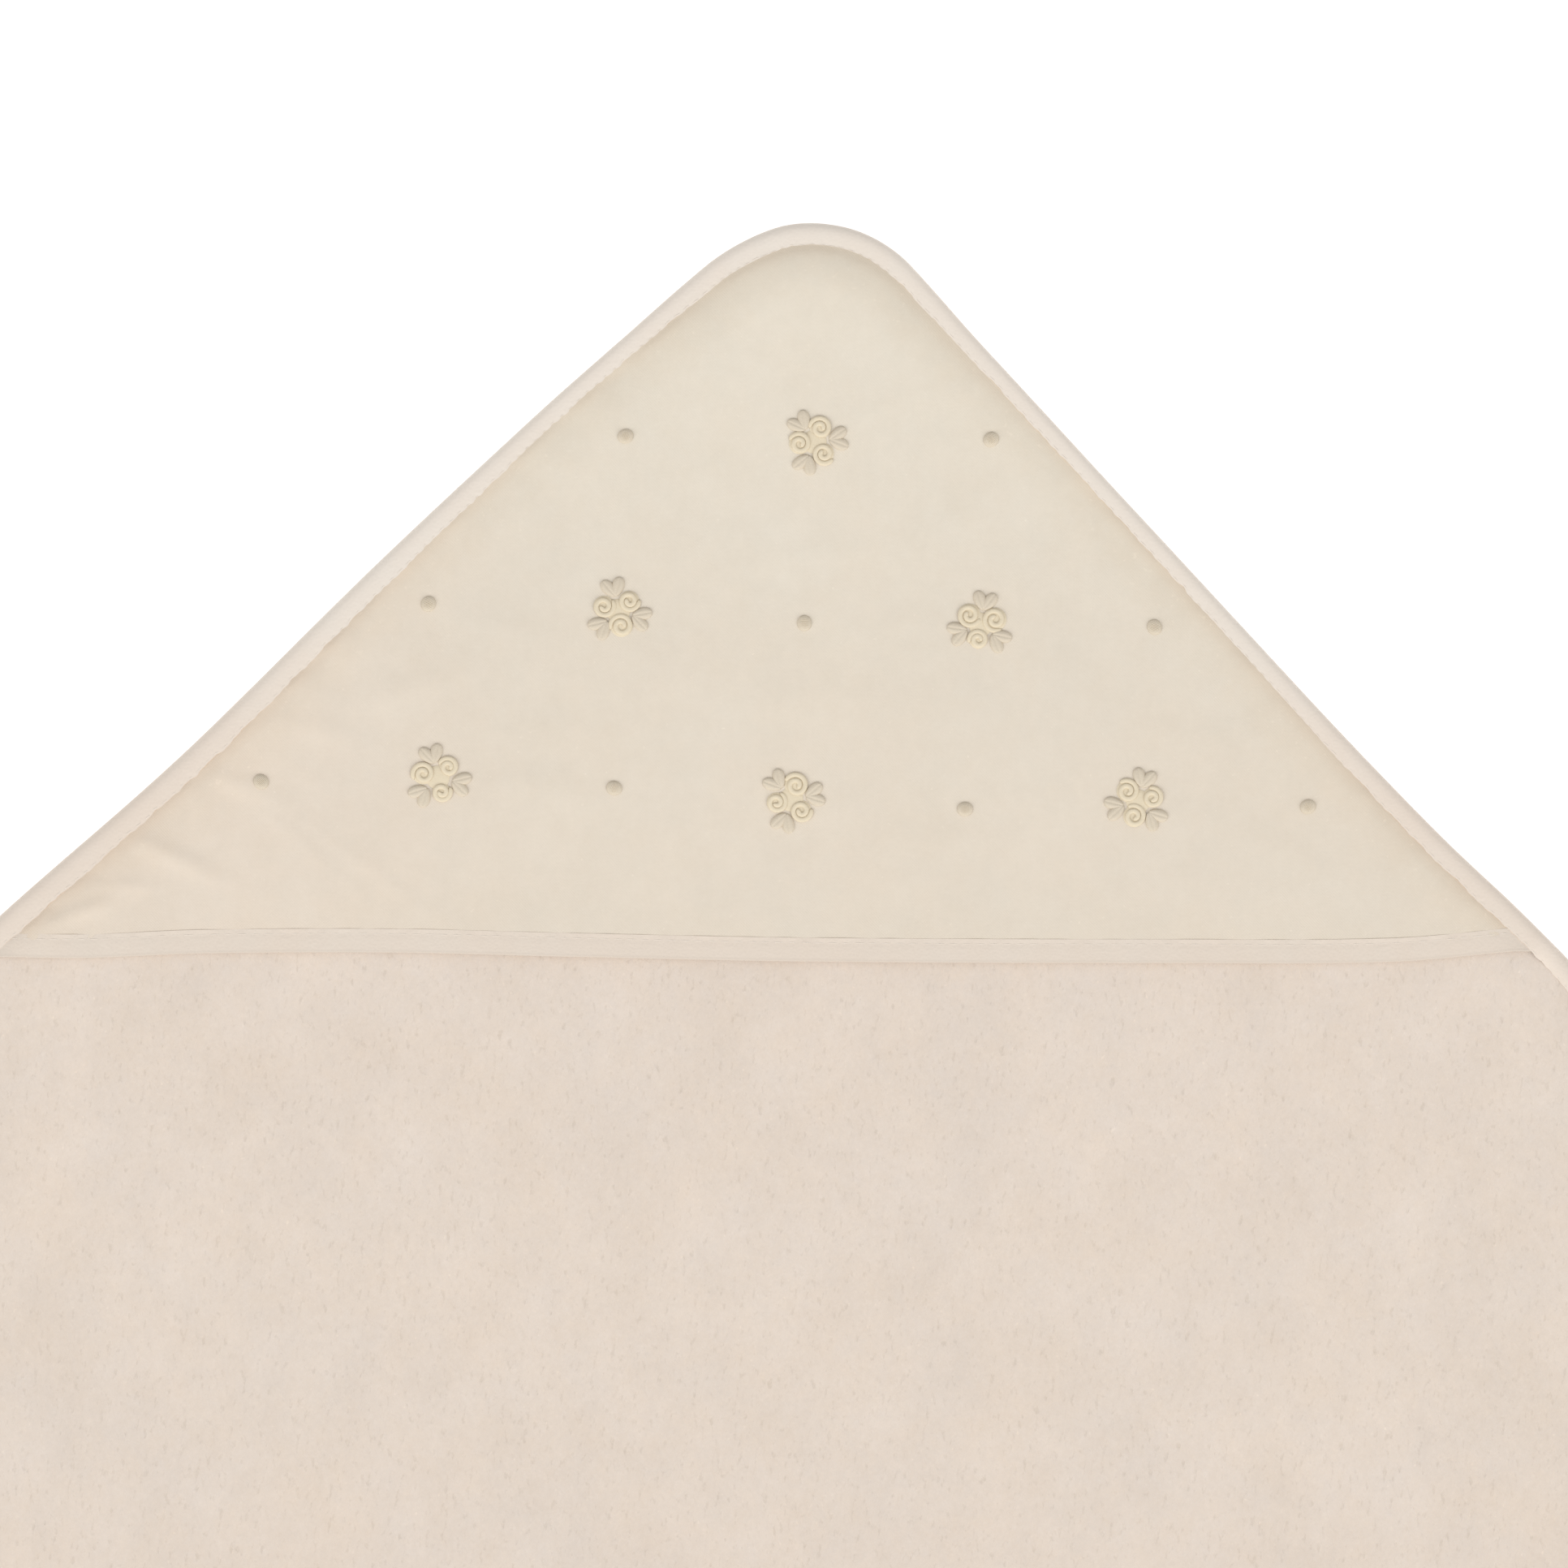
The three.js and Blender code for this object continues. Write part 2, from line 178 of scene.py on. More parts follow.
class Outline:
    """The towel's rounded square. Distances run along its edge from the hood's tip, to the left first."""

    # How far the laid edge wanders outwards: distance from the tip, then how far, in millimetres.
    LEFT_WANDER = (
        (-6, -0.05), (0, -0.3), (6, -0.7), (12, -1.3), (18, -1.65), (24, -1.6), (31, -1.2), (40, -0.8),
        (52, -0.48), (65, -0.05), (80, 0.38), (100, 0.55), (120, 0.62), (140, 0.5), (160, 0.05),
        (180, -0.55), (200, -0.97), (216, -0.83), (230, -0.4), (246, 0.25), (262, 0.75), (280, 0.85),
        (300, 0.4), (320, 0), (340, 0),
    )
    RIGHT_WANDER = (
        (-6, -0.7), (0, -0.3), (6, 0), (12, 0.35), (20, 0.6), (28, 0.75), (38, 0.6), (50, 0.22), (64, 0.08),
        (80, -0.05), (100, -0.25), (120, -0.35), (150, -0.55), (180, -0.73), (200, -0.58), (220, -0.15),
        (232, 0.5), (243, 1.25), (254, 1.7), (266, 1.95), (282, 1.5), (300, 0.6), (320, 0), (340, 0),
    )

    FAR_START = 0.28         # metres from the tip to where the rest of the edge wanders freely
    FAR_WANDER = 1.6         # and how far it wanders, in millimetres

    # The tape's folded width: place across the hood in millimetres, then the share of the widest.
    TAPE_SHARES = (
        (-200, 1.0), (-141, 0.97), (-95, 0.87), (-53, 0.74), (-20, 0.9), (0, 0.93), (20, 0.88), (53, 0.7),
        (95, 0.7), (141, 0.83), (200, 0.87),
    )

    def __init__(self, sizes):
        self.sizes = sizes
        self.radius = sizes.corner_radius
        self.reach = sizes.side / math.sqrt(2)
        self.centre = self.reach - self.radius * math.sqrt(2)
        self.arc = self.radius * math.pi / 2
        self.quarter = sizes.side - 2 * self.radius + self.arc
        self.length = 4 * self.quarter

    def wander(self, distance):
        along = distance % self.length
        from_tip = min(along, self.length - along)
        points = self.LEFT_WANDER if along < self.length / 2 else self.RIGHT_WANDER
        far = smooth((from_tip - self.FAR_START) / 0.1) * self.FAR_WANDER * self.ripple(distance, 26, 4.4)
        return (through(points, from_tip / MM) + far) * MM

    def ripple(self, distance, count, seed):
        """Smooth noise with about that many waves round the towel, which meets itself at the tip."""
        place = direction(math.tau * distance / self.length) * (count / math.tau)
        return noise.noise(Vector((place.x, place.y, seed)))

    def at(self, distance, inset):
        """The point that far round and that far in from the outer edge."""
        run = (distance + self.arc / 2) % self.length
        corner = TIP_ANGLE + math.pi / 2 * int(run / self.quarter)
        along = run % self.quarter
        bend = min(along / self.arc, 1.0)
        outward = direction(corner + (bend - 0.5) * math.pi / 2)
        point = direction(corner) * self.centre + outward * (self.radius - inset + self.wander(distance))
        if along > self.arc:
            point += direction(corner + math.pi * 0.75) * (along - self.arc)
        return point

    def inset(self, x, y):
        """How far in from the laid outer edge a point lies."""
        corner = round((math.atan2(y, x) - TIP_ANGLE) / (math.pi / 2))
        outward = direction(TIP_ANGLE + corner * math.pi / 2)
        beyond = x * outward.x + y * outward.y - self.centre
        aside = x * outward.y - y * outward.x
        if beyond > abs(aside):
            straight = self.radius - math.hypot(aside, beyond)
            run = math.atan2(abs(aside), beyond) * self.radius
        else:
            straight = (self.radius * math.sqrt(2) - abs(aside) - beyond) / math.sqrt(2)
            run = self.arc / 2 + (abs(aside) - beyond) / math.sqrt(2)
        return straight + self.wander(corner * self.quarter - math.copysign(run, aside))

    def tape_width(self, x):
        """The tape's folded width, which changes along the hood."""
        return self.sizes.tape_width * through(self.TAPE_SHARES, x / MM)


class HoodForm:
    """Heights and edges of the hood as it lies over the towel's top corner."""

    TUCK = 3.2 * MM         # the outer edge to the cotton's own edge, under the tape
    SEAM = 5.0 * MM         # the outer edge to the stitches that hold the hood
    OVERLAP = 0.45 * MM     # how far the tape's lip lies over the cotton's rise

    # How the cotton rises beside the tape: distance from where it starts, then height, in millimetres.
    TIP_RISE = (
        (0, 0), (1, 0.72), (2, 1.32), (4, 2.05), (6, 2.5), (8, 2.78), (10, 2.9), (12, 2.87), (17, 2.55),
        (24, 2.15), (34, 1.85), (50, 1.8),
    )
    UPPER_RISE = (
        (0, 0), (1, 0.25), (2, 0.44), (4, 0.72), (7, 0.98), (10, 1.06), (14, 1.04), (22, 1.0), (30, 1.0),
    )
    LOWER_RISE = ((0, 0), (1, 0.3), (2, 0.48), (4, 0.66), (7, 0.76), (11, 0.77), (20, 0.75))

    # The laid front edge's wave: place across the hood and how far back it lies, in millimetres.
    FRONT_WAVE = (
        (-194, 0.8), (-172, 0.5), (-144, 1.6), (-95, 1.8), (-53, 0.8), (7, -0.4), (97, -0.8), (150, -0.5),
        (180, 2.1),
    )
    # Soft folds: across, down from the towel's corner, turn in degrees, half length, half width, height.
    FOLDS = (
        (-1, 98, 8, 13, 3.2, 0.16), (25, 114, 6, 11, 3.0, 0.14), (-74, 117, -10, 13, 3.2, 0.16),
        (-96, 134, 18, 15, 4.0, 0.24), (-58, 157, -8, 14, 4.0, 0.18), (1, 132, 3, 17, 4.2, 0.15),
        (36, 166, 0, 12, 3.4, 0.12), (-152, 176, -24, 13, 2.6, 0.60), (-174, 191, 22, 9, 2.2, 0.45),
        (-136, 158, -20, 10, 2.6, 0.38), (-117, 144, -12, 11, 3.0, 0.26), (-102, 178, -34, 26, 1.6, 0.12),
        (-122, 170, -40, 20, 1.5, 0.12), (94, 138, -4, 12, 3.6, 0.12), (128, 168, -35, 12, 3.2, 0.18),
        (20, 60, 30, 8, 2.6, 0.14), (-163, 184, -2, 7, 2.0, 0.3),
    )

    def __init__(self, scene):
        self.sizes = scene.hood_sizes
        self.outline = Outline(scene.towel_sizes)
        self.sewn = self.outline.reach - self.SEAM * math.sqrt(2)
        self.middle = self.outline.reach - self.sizes.depth
        self.slope = math.tan(self.sizes.slant)

    def front(self, x):
        return self.middle + self.slope * x + through(self.FRONT_WAVE, x / MM) * MM

    def from_legs(self, x, y):
        """Distances in from the left and the right sewn edge."""
        return (self.sewn + x - y) / math.sqrt(2), (self.sewn - x - y) / math.sqrt(2)

    def squeeze(self, x, y):
        """0 where the layers are pressed flat in the side seams, 1 where they lie free."""
        return smooth((self.outline.inset(x, y) - self.SEAM) / (9 * MM))

    def from_tape(self, x, y):
        """How far a point of the cotton lies from where it starts to rise beside the tape."""
        return self.outline.inset(x, y) - self.outline.tape_width(x) + self.OVERLAP

    def top(self, x, y):
        """Height of the cotton's face: a steep start beside the tape, then nearly level."""
        sizes = self.sizes
        from_seam = max(self.from_tape(x, y), 0.0)
        steps = from_seam / MM
        tip = math.exp(-((x / (33 * MM)) ** 2)) * smooth((y - 0.42) / 0.06)
        upper = smooth((110 * MM - abs(x)) / (50 * MM))
        side = mix(through(self.LOWER_RISE, steps), through(self.UPPER_RISE, steps), upper)
        rise = mix(side, through(self.TIP_RISE, steps), tip) * MM
        crown = smooth(from_seam / sizes.crown_width) * smooth((y - self.front(x)) / sizes.crown_width)
        height = sizes.seam_height + rise + sizes.crown * crown
        return height + smooth(from_seam / (5 * MM)) * self.folds(x, y) + self.puckers(x, y, from_seam)

    def folds(self, x, y):
        """The soft folds, over broad unevenness."""
        height = noise.noise(Vector((x * 22, y * 22, 3.1))) * 0.28 * MM
        height += noise.noise(Vector((x * 60, y * 60, 7.7))) * 0.06 * MM
        down = self.outline.reach - y
        for across, depth, turn, half_length, half_width, rise in self.FOLDS:
            along_x, along_y = math.cos(math.radians(turn)), math.sin(math.radians(turn))
            off_x, off_y = x - across * MM, depth * MM - down
            along = (off_x * along_x + off_y * along_y) / (half_length * MM)
            aside = (off_y * along_x - off_x * along_y) / (half_width * MM)
            if abs(along) < 3 and abs(aside) < 3:
                height += rise * MM * math.exp(-along * along - aside * aside)
        return height

    def puckers(self, x, y, from_seam):
        """Small folds that run square to the sewn edges and die out towards the middle."""
        along = y - abs(x)
        strength = smooth(from_seam / (2 * MM)) * math.exp(-from_seam / (9 * MM))
        side = 1.3 if x < 0 else 5.9
        share = 1.0 if x < 0 else 0.6
        share *= smooth(abs(x) / (16 * MM))
        fine = noise.noise(Vector((along * 75, from_seam * 14, side)))
        quick = noise.noise(Vector((along * 200, from_seam * 40, side + 4))) * math.exp(-from_seam / (5 * MM))
        return self.sizes.pucker * 2 * share * strength * (fine + 0.55 * quick)

    def places(self, across, back, inset=0.0, front_inset=0.0):
        """A point of the hood. across runs along the sewn edge from the left, back from the front edge."""
        reach = self.leg_lengths(inset)
        edge = self.outline.at(mix(reach[0], -reach[1], across), inset)
        front = self.front(edge.x) + front_inset
        return edge.x, mix(front, edge.y, back)

    @functools.cache
    def leg_lengths(self, inset):
        """How far round from the tip the front edge meets the left and the right leg."""
        lengths = []
        for side in (1, -1):
            distance = 0.24
            for _ in range(20):
                point = self.outline.at(side * distance, inset)
                distance += (point.y - self.front(point.x)) * 0.7
            lengths.append(distance - 0.4 * MM)
        return lengths


# ---- Mesh work --------------------------------------------------------------------------------


def new_piece(name, bm, material):
    bmesh.ops.recalc_face_normals(bm, faces=bm.faces[:])
    for face in bm.faces:
        face.smooth = True
    for edge in bm.edges:
        edge.smooth = edge.calc_face_angle(0.0) < SHARP_ANGLE
    mesh = bpy.data.meshes.new(name)
    bm.to_mesh(mesh)
    bm.free()
    piece = bpy.data.objects.new(name, mesh)
    piece.data.materials.append(material)
    bpy.context.scene.collection.objects.link(piece)
    return piece


def formed_grid(bm, columns, rows, place):
    """Adds a grid whose points are moved to place(across, along), both from 0 to 1."""
    uv = bm.loops.layers.uv.get("UVMap") or bm.loops.layers.uv.new("UVMap")
    made = bmesh.ops.create_grid(bm, x_segments=columns, y_segments=rows, size=0.5, calc_uvs=True)
    for vertex in made["verts"]:
        vertex.co = place(vertex.co.x + 0.5, vertex.co.y + 0.5)
    return made["verts"]


def closed_seams(bm, verts, gap=0.01 * MM):
    bmesh.ops.remove_doubles(bm, verts=verts, dist=gap)


def shell(bm, thickness):
    """Gives the sheet a wall below its face."""
    bmesh.ops.solidify(bm, geom=bm.faces[:], thickness=thickness)


def second_face(bm, place):
    """Closes the sheet with a second face, each of whose points is moved to place(point)."""
    made = bmesh.ops.extrude_face_region(bm, geom=bm.faces[:])["geom"]
    for part in made:
        if isinstance(part, bmesh.types.BMVert):
            part.co = place(part.co)


def fill_bases(bm):
    bmesh.ops.holes_fill(bm, edges=[edge for edge in bm.edges if edge.is_boundary], sides=0)


def cord(bm, steps, around, centre, radius, flatness=0.8):
    """A cord with rounded ends. centre(share) gives its middle line, with share from 0 to 1."""

    def place(along, over):
        ahead = (centre(min(along + 0.01, 1.0)) - centre(max(along - 0.01, 0.0))).normalized()
        side = Vector((0, 0, 1)).cross(ahead).normalized()
        end = min(min(along, 1 - along) * steps / 3, 1.0)
        girth = radius * math.sqrt(1 - (1 - end) ** 2)
        angle = math.tau * over
        ring = side * math.cos(angle) + ahead.cross(side) * math.sin(angle) * flatness
        return centre(along) + ring * girth

    closed_seams(bm, formed_grid(bm, steps, around, place), 0.001 * MM)


def ride_towel(piece, *nodes):
    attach(piece, TOWEL_BODY)
    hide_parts(*nodes)


def bend_with_hood(piece, form, *nodes):
    """Bakes the piece's place into its mesh and hides the given parts."""
    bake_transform(piece)
    full = (form.sewn - form.middle) / math.sqrt(2)
    for vertex in piece.data.vertices:
        left, right = (min(max(d / full, 0.0), 1.0) for d in form.from_legs(vertex.co.x, vertex.co.y))
        math.sin(left * math.pi / 2) * math.sin(right * math.pi / 2)
    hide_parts(*nodes)


# ---- Shader work ------------------------------------------------------------------------------


class Value:
    """A number in a shader. Python's own operators add its Math nodes."""

    def __init__(self, shader, socket):
        self.shader, self.socket = shader, socket

    def _maths(self, operation, *terms):
        return self.shader.maths(operation, *terms)

    def __add__(self, other):
        return self._maths("ADD", self, other)

    def __radd__(self, other):
        return self._maths("ADD", other, self)

    def __sub__(self, other):
        return self._maths("SUBTRACT", self, other)

    def __rsub__(self, other):
        return self._maths("SUBTRACT", other, self)

    def __mul__(self, other):
        return self._maths("MULTIPLY", self, other)

    def __rmul__(self, other):
        return self._maths("MULTIPLY", other, self)

    def __abs__(self):
        return self._maths("ABSOLUTE", self)


class Shader:
    """One cloth's material."""

    def __init__(self, name):
        self.material = bpy.data.materials.new(name)
        self.material.use_nodes = True
        self.tree = self.material.node_tree
        self.bsdf = self.tree.nodes["Principled BSDF"]

    def node(self, kind, settings=None, sockets=None):
        made = self.tree.nodes.new(kind)
        for name, value in (settings or {}).items():
            setattr(made, name, value)
        for name, value in (sockets or {}).items():
            self.feed(made.inputs[name], value)
        return made

    def feed(self, socket, value):
        if isinstance(value, Value):
            value = value.socket
        if isinstance(value, bpy.types.NodeSocket):
            self.tree.links.new(value, socket)
        else:
            socket.default_value = value

    def maths(self, operation, *terms):
        made = self.node("ShaderNodeMath", {"operation": operation}, dict(enumerate(terms)))
        return Value(self, made.outputs[0])

    def position(self, stretch=(1, 1, 1), turn=(0, 0, 0)):
        """The place on the piece in metres, stretched and turned."""
        coordinates = self.node("ShaderNodeTexCoord").outputs["Object"]
        mapping = self.node("ShaderNodeMapping", None, {
            "Vector": coordinates, "Scale": stretch, "Rotation": turn,
        })
        return mapping.outputs["Vector"]

    def surface(self):
        """The place on the piece's own map, 0 to 1 both ways."""
        return self.node("ShaderNodeTexCoord").outputs["UV"]

    def stored(self, name):
        """A number that is stored at each point of the piece."""
        return Value(self, self.node("ShaderNodeAttribute", {"attribute_name": name}).outputs["Fac"])

    def cloudy(self, vector, scale, detail=2.0, roughness=0.5):
        made = self.node("ShaderNodeTexNoise", None, {
            "Vector": vector, "Scale": scale, "Detail": detail, "Roughness": roughness,
        })
        return Value(self, made.outputs["Fac"])

    def cells(self, vector, scale, smoothness=0.6):
        made = self.node("ShaderNodeTexVoronoi", {"feature": "SMOOTH_F1"}, {
            "Vector": vector, "Scale": scale, "Smoothness": smoothness,
        })
        return Value(self, made.outputs["Distance"])

    def ribs(self, vector, pitch, axis="X", distortion=0.0):
        """Ribs that far apart. A wave texture's band is a twentieth of a turn wide at scale 1."""
        made = self.node("ShaderNodeTexWave", {"wave_type": "BANDS", "bands_direction": axis}, {
            "Vector": vector, "Scale": math.tau / 20 / pitch, "Distortion": distortion, "Detail": 1.0,
        })
        return Value(self, made.outputs["Fac"])

    def ease(self, value, low, high):
        """0 at low and 1 at high, with a soft step between them. low may be the larger one."""
        settings = {"interpolation_type": "SMOOTHSTEP"}
        made = self.node("ShaderNodeMapRange", settings, {0: value, 1: low, 2: high})
        return Value(self, made.outputs[0])

    def part(self, vector, axis):
        made = self.node("ShaderNodeSeparateXYZ", None, {0: vector})
        return Value(self, made.outputs[axis])

    def between(self, low, high, share):
        made = self.node("ShaderNodeMix", {"data_type": "RGBA"}, {0: share, 6: low, 7: high})
        return made.outputs[2]

    def shaded(self, colour, low, high, share):
        """The colour times a shade that runs from low to high."""
        shade = self.between((*low, 1), (*high, 1), share)
        settings = {"data_type": "RGBA", "blend_type": "MULTIPLY"}
        return self.node("ShaderNodeMix", settings, {0: 1.0, 6: colour, 7: shade}).outputs[2]

    def finish(self, base, relief, depth, roughness, strength=1.0, sheen=0.0):
        bump = self.node("ShaderNodeBump", None, {"Height": relief, "Distance": depth, "Strength": strength})
        self.feed(self.bsdf.inputs["Base Color"], base)
        self.feed(self.bsdf.inputs["Normal"], bump.outputs["Normal"])
        self.feed(self.bsdf.inputs["Roughness"], roughness)
        self.bsdf.inputs["Sheen Weight"].default_value = sheen
        self.bsdf.inputs["Specular IOR Level"].default_value = 0.2
        return self.material


def tint(base, factor, warmth=0.0):
    """A colour made lighter or darker, and warmer where warmth is above 0."""
    shifted = (base[0] * factor, base[1] * factor * (1 - warmth), base[2] * factor * (1 - 2 * warmth))
    return (*(min(part, 1.0) for part in shifted), 1.0)


def terry_cloth(name, base):
    """Brushed pile: tufts about a millimetre across, fibres, sparse gaps with painted shade in them, and slow
    patches of light.
    """
    shader = Shader(name)
    place = shader.position()
    fibre_place = shader.position(stretch=(1.0, 0.45, 1.0), turn=(0, 0, 0.3))
    warp = shader.node("ShaderNodeTexNoise", None, {"Vector": place, "Scale": 700.0, "Detail": 2.0})
    bent = shader.node("ShaderNodeVectorMath", {"operation": "MULTIPLY_ADD"}, {
        0: warp.outputs["Color"], 1: (0.0011, 0.0011, 0.0011), 2: fibre_place,
    }).outputs[0]
    tufts = 1 - shader.cells(bent, 900.0)
    fibres = shader.cloudy(fibre_place, 1900.0, 3.0, 0.65)
    gap_place = shader.position((1.0, 0.42, 1.0), (0, 0, 1.9))
    gaps = shader.ease(shader.cloudy(gap_place, 820.0, 2.0, 0.55), 0.55, 0.80)
    lifted_place = shader.position((1.0, 0.7, 1.0), (0, 0, 2.6))
    lifted = shader.ease(shader.cloudy(lifted_place, 900.0, 1.0, 0.5), 0.70, 0.86)
    patches = shader.cloudy(shader.position((1.0, 0.7, 1.0)), 36.0, 6.0, 0.9)
    warmth = shader.cloudy(shader.position(turn=(0, 0, 1.1)), 36.0, 6.0, 0.9)
    relief = tufts * 0.3 + fibres * 0.3 - gaps * 0.4
    pile = shader.between(tint(base, 0.97, 0.004), tint(base, 1.03, -0.002), tufts * 0.3 + fibres * 0.7)
    patched = shader.shaded(pile, (0.86, 0.86, 0.86), (1.14, 1.14, 1.14), patches)
    warmed = shader.shaded(patched, (1.01, 0.965, 0.90), (0.99, 1.035, 1.10), warmth)
    # painted shade: darker in the gaps of the pile, where the bump sinks too
    gap_shaded = shader.shaded(warmed, (1, 1, 1), (0.915, 0.91, 0.895), gaps)
    lit = shader.shaded(gap_shaded, (1, 1, 1), (1.10, 1.09, 1.07), lifted)
    return shader.finish(lit, relief, 0.3 * MM, 1.0, 0.6, 0.1)


def cotton_cloth(name, base):
    """Fine soft-faced cotton with slubs, lint and slow patches.

    It has painted light towards the tip, is rosier at the left, and has painted shade and more specks beside
    the tape.
    """
    shader = Shader(name)
    place = shader.position()
    turned = shader.position(turn=(0, 0, math.radians(45)))
    warp_threads = shader.ribs(turned, 0.5 * MM, "X", 1.5)
    weft_threads = shader.ribs(turned, 0.5 * MM, "Y", 1.5)
    slubs = shader.cloudy(shader.position(stretch=(1, 0.25, 1), turn=(0, 0, 0.78)), 420.0, 3.0, 0.6)
    fuzz = shader.cloudy(place, 1500.0, 2.0, 0.6)
    lint = shader.ease(shader.cloudy(shader.position(turn=(0, 0, 2.2)), 800.0, 1.0, 0.5), 0.72, 0.86)
    patches = shader.cloudy(place, 62.0, 5.0, 0.9)
    warmth = shader.cloudy(shader.position(turn=(0, 0, 1.1)), 50.0, 5.0, 0.8)
    tip = shader.ease(shader.part(place, "Y"), 0.35, 0.49)
    corner = shader.ease(shader.part(place, "X"), -0.05, -0.14)
    relief = warp_threads * 0.12 + weft_threads * 0.12 + slubs * 0.5 + fuzz * 0.4
    threads = shader.between(tint(base, 0.98, 0.002), tint(base, 1.02), slubs * 0.6 + fuzz * 0.4)
    patched = shader.shaded(threads, (0.925, 0.925, 0.92), (1.075, 1.075, 1.08), patches)
    warmed = shader.shaded(patched, (1.005, 0.98, 0.955), (0.995, 1.02, 1.045), warmth)
    # painted light: paler towards the tip
    tip_painted_light = shader.shaded(warmed, (1, 1, 1), (1.032, 1.055, 1.062), tip)
    rosy = shader.shaded(tip_painted_light, (1, 1, 1), (1.02, 1.0, 1.0), corner)
    gap = shader.stored("seam_gap")
    blotches = shader.cloudy(place, 150.0, 4.0, 0.7)
    # painted shade of the hollow beside the tape: darker and warmer at the seam, and a little darker further
    # in
    seam = (1 - shader.ease(gap, 0.3, 4.5)) * (0.45 + blotches * 1.1)
    beside = 1 - shader.ease(gap + blotches * 14, 9.0, 22.0)
    deep = shader.shaded(rosy, (1, 1, 1), (0.985, 0.955, 0.93), seam)
    tape_painted_shade = shader.shaded(deep, (1, 1, 1), (0.99, 0.975, 0.955), beside)
    specks = shader.ease(shader.cloudy(place, 640.0, 1.0, 0.5), 0.66, 0.80) * beside
    lit = shader.shaded(tape_painted_shade, (1, 1, 1), (1.08, 1.08, 1.08), lint + specks * 0.8)
    return shader.finish(lit, relief, 0.15 * MM, 0.9, 0.6, 0.1)


def tape_cloth(name, base, turn_shade=1.0):
    """Close-knit tape with soft drags in it, rosier away from the hood's tip.

    turn_shade paints shade on the line where the tape turns over, halfway round.
    """
    shader = Shader(name)
    place = shader.position()
    knit = shader.cells(place, 1500.0, 0.8)
    drag = shader.cloudy(place, 210.0, 3.0, 0.55)
    warmth = shader.cloudy(shader.position(turn=(0, 0, 1.1)), 60.0, 4.0, 0.6)
    relief = knit * 0.6 + drag * 0.6
    cloth = shader.between(tint(base, 0.97, 0.004), tint(base, 1.02), drag * 0.6 + knit * 0.5)
    warmed = shader.shaded(cloth, (1.0, 0.975, 0.955), (1.0, 1.02, 1.035), warmth)
    from_tip = shader.ease(shader.part(place, "Y"), 0.42, 0.37)
    rosy = shader.shaded(warmed, (1, 1, 1), (0.975, 0.945, 0.925), from_tip)
    # painted shade along the turn, which dims the light caught by the rounded edge
    turn = 1 - shader.ease(abs(shader.part(shader.surface(), "Y") - 0.5), 0.06, 0.12)
    turn_shaded = shader.shaded(rosy, (1, 1, 1), (turn_shade,) * 3, turn)
    return shader.finish(turn_shaded, relief, 0.14 * MM, 0.82, 0.6, 0.1)


def thread(name, base, strand_shade=0.88):
    """Twisted shiny thread, with painted shade down between its strands."""
    shader = Shader(name)
    place = shader.position()
    strands = shader.cloudy(place, 2600.0, 2.0, 0.6)
    slow = shader.cloudy(place, 260.0, 2.0, 0.5)
    # painted shade where the strands sink and painted light on their crowns
    shade = shader.between(tint(base, strand_shade, 0.01), tint(base, 1.05), strands * 0.7 + slow * 0.45)
    return shader.finish(shade, strands, 0.12 * MM, 0.6, 0.6, 0.0)


def plain_floor(name, base):
    shader = Shader(name)
    shader.bsdf.inputs["Emission Color"].default_value = (1, 1, 1, 1)
    shader.bsdf.inputs["Emission Strength"].default_value = 0.5
    grain = shader.cloudy(shader.position(), 3.0, 2.0, 0.5)
    shade = shader.between(tint(base, 0.995), tint(base, 1.0), grain)
    return shader.finish(shade, grain, 0.01 * MM, 0.9, 0.1)


# ---- Pieces -----------------------------------------------------------------------------------


class TOWEL_OT_stage(bpy.types.Operator):
    """Adds the plain floor, the soft lights and the camera that looks straight down at the hooded corner"""

    bl_idname = "towel.stage"
    bl_label = "Floor, Lights and Camera"

    VIEW_MIDDLE = Vector((-1.25 * MM, 376.7 * MM, 4 * MM))
    VIEW_WIDTH = 0.3864
    CAMERA_HEIGHT = 3.0
    CAMERA_ROLL = math.radians(1.84)
    KEY_TURNS = (-140, -40)      # degrees round from +X, one key light on either side
    KEY_RISE = math.radians(37)

    def execute(self, context):
        colours = context.scene.cloth_colours
        bm = bmesh.new()
        bmesh.ops.create_grid(bm, x_segments=4, y_segments=4, size=30)
        floor = new_piece("floor", bm, plain_floor("pale_floor", colours.floor))
        floor.data.transform(Matrix.Translation((0, 0, -0.1 * MM)))
        self.lights(context.scene)
        self.camera(context.scene)
        context.scene.view_settings.view_transform = "Standard"
        return {"FINISHED"}

    def lights(self, scene):
        world = bpy.data.worlds.new("soft_room")
        world.use_nodes = True
        background = world.node_tree.nodes["Background"]
        background.inputs["Color"].default_value = (0.985, 0.99, 1.0, 1)
        background.inputs["Strength"].default_value = 0.58
        scene.world = world
        for name, degrees in zip(("key_light_left", "key_light_right"), self.KEY_TURNS):
            key = bpy.data.lights.new(name, "SUN")
            key.energy = 1.25
            key.angle = math.radians(45)
            key.color = (1.0, 0.99, 0.975)
            light = bpy.data.objects.new(name, key)
            away = direction(math.radians(degrees)) + Vector((0, 0, math.tan(self.KEY_RISE)))
            light.location = self.VIEW_MIDDLE + away * 1.5
            light.rotation_euler = away.to_track_quat("Z", "Y").to_euler()
            scene.collection.objects.link(light)

    def camera(self, scene):
        data = bpy.data.cameras.new("camera")
        data.sensor_width = 36
        data.lens = data.sensor_width * self.CAMERA_HEIGHT / self.VIEW_WIDTH
        data.clip_end = 50
        camera = bpy.data.objects.new("camera", data)
        camera.location = self.VIEW_MIDDLE + Vector((0, 0, self.CAMERA_HEIGHT))
        camera.rotation_euler = (0, 0, self.CAMERA_ROLL)
        scene.collection.objects.link(camera)
        scene.camera = camera


